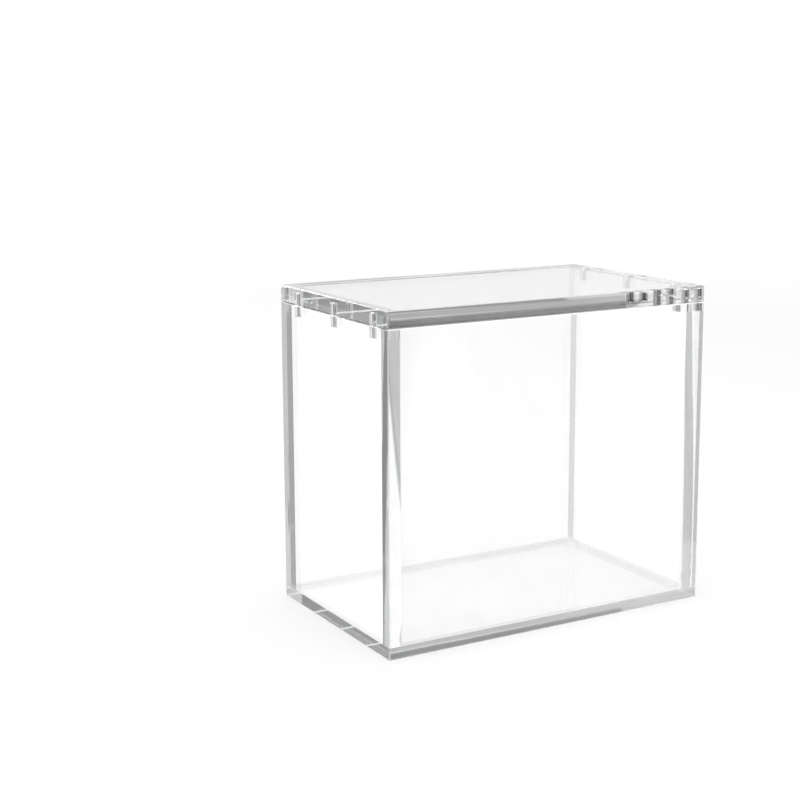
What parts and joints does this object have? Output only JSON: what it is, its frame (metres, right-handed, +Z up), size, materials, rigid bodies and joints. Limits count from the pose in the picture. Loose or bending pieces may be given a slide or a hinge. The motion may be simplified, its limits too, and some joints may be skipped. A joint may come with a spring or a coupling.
{
  "type": "trading card display case",
  "caption": "Clear acrylic box with a loose flat lid held down by small magnets, sized to show a sealed box of card packs",
  "frame": {"origin": "centre of the underside of the base sheet", "axes": "+X along the width, the longest side; +Y from the front face to the back face; +Z up, the way the lid lifts"},
  "size_m": [0.1604, 0.0984, 0.1438],
  "materials": {
    "clear_acrylic": "water-clear cast acrylic sheet, polished on its faces and edges",
    "magnet_nickel": "bright nickel plate"
  },
  "bodies": {
    "case": {"base_panel": "clear_acrylic", "front_panel": "clear_acrylic", "back_panel": "clear_acrylic", "left_panel": "clear_acrylic", "right_panel": "clear_acrylic", "case_magnet_left_front": "magnet_nickel", "case_magnet_left_middle": "magnet_nickel", "case_magnet_left_back": "magnet_nickel", "case_magnet_right_front": "magnet_nickel", "case_magnet_right_middle": "magnet_nickel", "case_magnet_right_back": "magnet_nickel"},
    "lid": {"lid_panel": "clear_acrylic", "lid_magnet_left_front": "magnet_nickel", "lid_magnet_left_middle": "magnet_nickel", "lid_magnet_left_back": "magnet_nickel", "lid_magnet_right_front": "magnet_nickel", "lid_magnet_right_middle": "magnet_nickel", "lid_magnet_right_back": "magnet_nickel"}
  },
  "joints": [
    {"name": "lid_lift", "type": "slide", "parent": "case", "child": "lid", "axis": [0, 0, 1], "range_m": [0, 0.14]}
  ]
}
